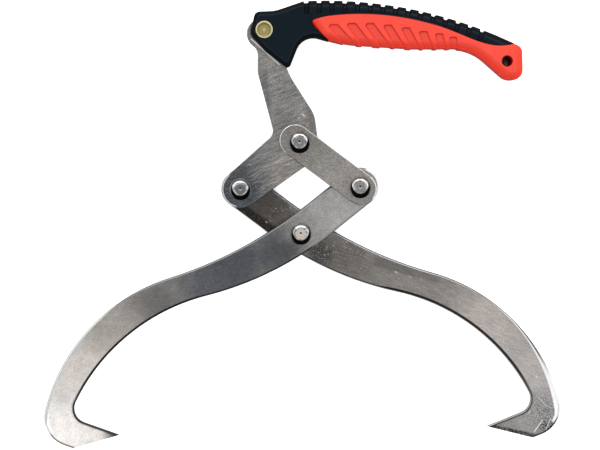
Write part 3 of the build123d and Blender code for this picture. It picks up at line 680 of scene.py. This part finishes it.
def mouldedMaterial(name, look, middle, padHeight):
    material, tree, shader = newMaterial(name)
    coords = objectCoords(tree)
    skin = place(tree, "skin", Vector=coords, Scale=look["grainScale"])
    geometry = tree.nodes.new("ShaderNodeNewGeometry")
    hollow = rampMask(tree, geometry.outputs["Pointiness"], *mouldPattern["hollow"])
    raised = rampMask(tree, geometry.outputs["Pointiness"], *mouldPattern["raised"])
    split = tree.nodes.new("ShaderNodeSeparateXYZ")
    feed(tree, coords, split.inputs[0])
    fromMiddle = math2(tree, "ABSOLUTE", math2(tree, "SUBTRACT", split.outputs["Z"], middle.z))
    flatStart, flatEnd = mouldPattern["flat"]
    flat = math2(tree, "SUBTRACT", 1.0, place(tree, "slope", Start=flatStart, End=flatEnd)["Edge"])
    sunk = rampMask(tree, fromMiddle, padHeight, padHeight - mouldPattern["padSoft"])
    sunk = math2(tree, "MULTIPLY", sunk, flat)
    colour = tint(tree, skin["Rubbed"], mouldPattern["rubbedTint"], look["body"], look["rubbedAndHighlight"])
    colour = tint(tree, sunk, mouldPattern["padTint"], colour, look["pad"])
    # painted shade and light by slope and curvature: a crease line where a flat side starts to turn, lighter
    # on black and darker on red; steep sides painted darker on black and a deeper red on red as painted
    # bounce light; upright walls darker; hollows painted dark and raised edges light
    begun = place(tree, "slope", Start=look["creaseStart"], End=look["creaseEnd"])["Edge"]
    steep = place(tree, "slope", Start=look["creaseEnd"], End=look["sideEnd"])["Edge"]
    if look["plain"]:    # a strip where two forms of the core run into each other without a crease
        blended = math2(tree, "SUBTRACT", 1.0, straightStrip(tree, coords, *look["plain"]))
        begun = math2(tree, "MULTIPLY", begun, blended)
        steep = math2(tree, "MULTIPLY", steep, blended)
        hollow = math2(tree, "MULTIPLY", hollow, blended)
        raised = math2(tree, "MULTIPLY", raised, blended)
    crease = math2(tree, "MULTIPLY", begun, math2(tree, "SUBTRACT", 1.0, steep))
    colour = tint(tree, crease, look["creaseDepth"], colour, look["crease"])
    colour = tint(tree, steep, mouldPattern["sideTint"], colour, look["side"])
    uprightStart, uprightEnd = mouldPattern["upright"]
    upright = place(tree, "slope", Start=uprightStart, End=uprightEnd)["Edge"]
    colour = tint(tree, upright, mouldPattern["rimTint"], colour, look["rim"])
    colour = tint(tree, hollow, mouldPattern["hollowTint"], colour, look["hollowShade"])
    colour = tint(tree, raised, mouldPattern["raisedTint"], colour, look["rubbedAndHighlight"])
    if look["seam"]:     # dark joint along the edge where the cover meets the core
        colour = mixColour(tree, edgeBand(tree, coords, look["seam"]), colour, look["seam"]["tone"])
    # painted shade: the wall of the hanging hole dark red on both mouldings, on the black core also a painted
    # reflection of the red
    holeReach, holeSoft = mouldPattern["holeReach"], mouldPattern["holeSoft"]
    inHole = rampMask(tree, planDistance(tree, coords, *hangHole), holeReach + holeSoft, holeReach - holeSoft)
    colour = mixColour(tree, inHole, colour, mouldPattern["holeShade"])
    feed(tree, colour, shader.inputs["Base Color"])
    rough = mixValue(tree, skin["Rubbed"], look["roughHigh"], look["roughLow"])
    feed(tree, mixValue(tree, steep, rough, look["sideRough"]), shader.inputs["Roughness"])
    shader.inputs["Specular IOR Level"].default_value = look["shine"]
    bump(tree, shader, skin["Grain"], look["bump"])
    return material


def dress(nodeName, material):
    mesh = nodes[nodeName].data
    mesh.materials.clear()
    mesh.materials.append(material)


for nodeName, look in plateLooks.items():
    dress(nodeName, steelMaterial(nodeName + "Steel", look))
rivetPlaces = {
    "top": pivots["link_swing"],
    "left": pivots["jaw_spread"],
    "centre": pivots["scissor"],
    "right": (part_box("right_rivet")[0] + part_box("right_rivet")[1]) / 2,
}
headLooks = {
    "top": rivetLook,
    "left": dict(rivetLook, discDark=grey(0.13), discLight=grey(0.34)),
    "right": dict(rivetLook, discDark=grey(0.24), discLight=grey(0.54)),
    "centre": warmRivetLook,
}
nylon = nylonMaterial()
for rivetName, centre in rivetPlaces.items():
    dress(rivetName + "_rivet", turnedMaterial(rivetName + "RivetSteel", centre, headLooks[rivetName]))
    dress(rivetName + "_washer", turnedMaterial(rivetName + "WasherZinc", centre, washerLook))
    dress(rivetName + "_spacer", nylon)
dress("handle_rivet", turnedMaterial("handleBrass", pivots["handle_fold"], brassLook))
for nodeName in ("front_thrust_washer", "back_thrust_washer"):
    dress(nodeName, nylon)
padHeight = (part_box("grip_cover")[1].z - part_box("grip_cover")[0].z) / 2 - mouldPattern["padDepth"]
dress("handle_core", mouldedMaterial("blackPlastic", blackLook, pivots["handle_fold"], padHeight))
dress("grip_cover", mouldedMaterial("redRubber", redLook, pivots["handle_fold"], padHeight))
print("materials:", len(bpy.data.materials))

# softened edges of the two mouldings
mouldShape = {"voxel": 0.0004, "smoothing": 2, "smoothFactor": 0.5}
for nodeName in ("handle_core", "grip_cover"):
    remesh = nodes[nodeName].modifiers.new("mouldVoxels", "REMESH")
    remesh.mode = "VOXEL"
    remesh.voxel_size = mouldShape["voxel"]
    remesh.use_smooth_shade = True
    soften = nodes[nodeName].modifiers.new("mouldSoftening", "SMOOTH")
    soften.factor = mouldShape["smoothFactor"]
    soften.iterations = mouldShape["smoothing"]
print("mouldings softened")

# pale floor that the tongs lie on, brighter where it is looked at than where it is mirrored
floorShape = {
    "half": 6.0, "gap": 0.0003, "colour": grey(0.8), "covered": grey(0.03), "rough": 0.9, "glow": 0.85,
    "shadeReach": 0.1, "shade": (0.05, 0.3),
}
floorMesh = bpy.data.meshes.new("floor")
half = floorShape["half"]
corners = [(-half, -half, 0), (half, -half, 0), (half, half, 0), (-half, half, 0)]
floorMesh.from_pydata(corners, [], [(0, 1, 2, 3)])
floor = bpy.data.objects.new("floor", floorMesh)
bpy.context.scene.collection.objects.link(floor)
floor.location.z = cadBox[0].z - floorShape["gap"]
floorMaterial, floorTree, floorShader = newMaterial("paleFloor")
floorShader.inputs["Roughness"].default_value = floorShape["rough"]
floorShader.inputs["Specular IOR Level"].default_value = 0.0
floorShader.inputs["Emission Color"].default_value = grey(1.0)
looked = floorTree.nodes.new("ShaderNodeLightPath").outputs["Is Camera Ray"]
# painted shade: the floor's colour and glow go dark where the tongs close it in, under them and seen through
# the hanging hole
openness = floorTree.nodes.new("ShaderNodeAmbientOcclusion")
openness.inputs["Distance"].default_value = floorShape["shadeReach"]
uncovered = rampMask(floorTree, openness.outputs["AO"], *floorShape["shade"])
floorColour = mixColour(floorTree, uncovered, floorShape["covered"], floorShape["colour"])
feed(floorTree, floorColour, floorShader.inputs["Base Color"])
glow = math2(floorTree, "MULTIPLY", uncovered, floorShape["glow"])
feed(floorTree, math2(floorTree, "MULTIPLY", looked, glow), floorShader.inputs["Emission Strength"])
floorMesh.materials.append(floorMaterial)

# soft studio light: a low bank at the handle's end, high boxes over the two hooks
lightBanks = {
    "northBank": {"place": (0.0, 1.7, 0.7), "size": (2.6, 1.0), "power": 18.0},
    "leftBox": {"place": (-0.46, -0.46, 1.3), "size": (0.5, 0.5), "power": 1.05},
    "rightBox": {"place": (0.52, -0.46, 1.3), "size": (0.46, 0.46), "power": 0.9},
}
for lightName, bank in lightBanks.items():
    light = bpy.data.lights.new(lightName, "AREA")
    light.shape = "RECTANGLE"
    light.size, light.size_y = bank["size"]
    light.energy = bank["power"]
    lamp = bpy.data.objects.new(lightName, light)
    lamp.location = bank["place"]
    lamp.rotation_euler = (Vector((0, 0, 0)) - lamp.location).to_track_quat("-Z", "Y").to_euler()
    bpy.context.scene.collection.objects.link(lamp)

# surroundings: a pale tent, duller overhead and half-way up the south
tent = {
    "south": 0.4, "low": 1.5, "sides": 1.5, "above": 0.6, "shown": 1.0,
    "northFrom": (-0.3, 0.0), "zenithFrom": (0.84, 0.96), "roofFrom": (0.5, 0.9), "skirtTo": (0.2, 0.4),
}
world = bpy.data.worlds.new("studio")
bpy.context.scene.world = world
world.use_nodes = True
sky = world.node_tree
axes = sky.nodes.new("ShaderNodeSeparateXYZ")
feed(sky, sky.nodes.new("ShaderNodeTexCoord").outputs["Generated"], axes.inputs[0])
north = rampMask(sky, axes.outputs["Y"], *tent["northFrom"])
zenith = rampMask(sky, axes.outputs["Z"], *tent["zenithFrom"])
roof = rampMask(sky, axes.outputs["Z"], *tent["roofFrom"])
lit = mixColour(sky, roof, grey(tent["sides"]), grey(tent["above"]))
aboveSkirt = rampMask(sky, axes.outputs["Z"], *tent["skirtTo"])
south = mixColour(sky, aboveSkirt, grey(tent["low"]), grey(tent["south"]))
shell = mixColour(sky, math2(sky, "MAXIMUM", north, zenith), south, lit)
lookedAt = sky.nodes.new("ShaderNodeLightPath").outputs["Is Camera Ray"]
feed(sky, mixColour(sky, lookedAt, shell, grey(tent["shown"])), sky.nodes["Background"].inputs["Color"])
bpy.context.scene.view_settings.view_transform = "Standard"
print("floor and light in place")

# camera over the crossing, as the photograph was taken
cameraView = {
    "place": (-0.02568, 0.0627, 1.31116), "turn": (-2.438, -1.153, -0.957), "lens": 97.4, "sensor": 36.0,
}
camera = bpy.data.objects.new("camera", bpy.data.cameras.new("camera"))
bpy.context.scene.collection.objects.link(camera)
camera.location = cameraView["place"]
camera.rotation_euler = Euler([math.radians(angle) for angle in cameraView["turn"]])
camera.data.lens = cameraView["lens"]
camera.data.sensor_width = cameraView["sensor"]
bpy.context.scene.camera = camera
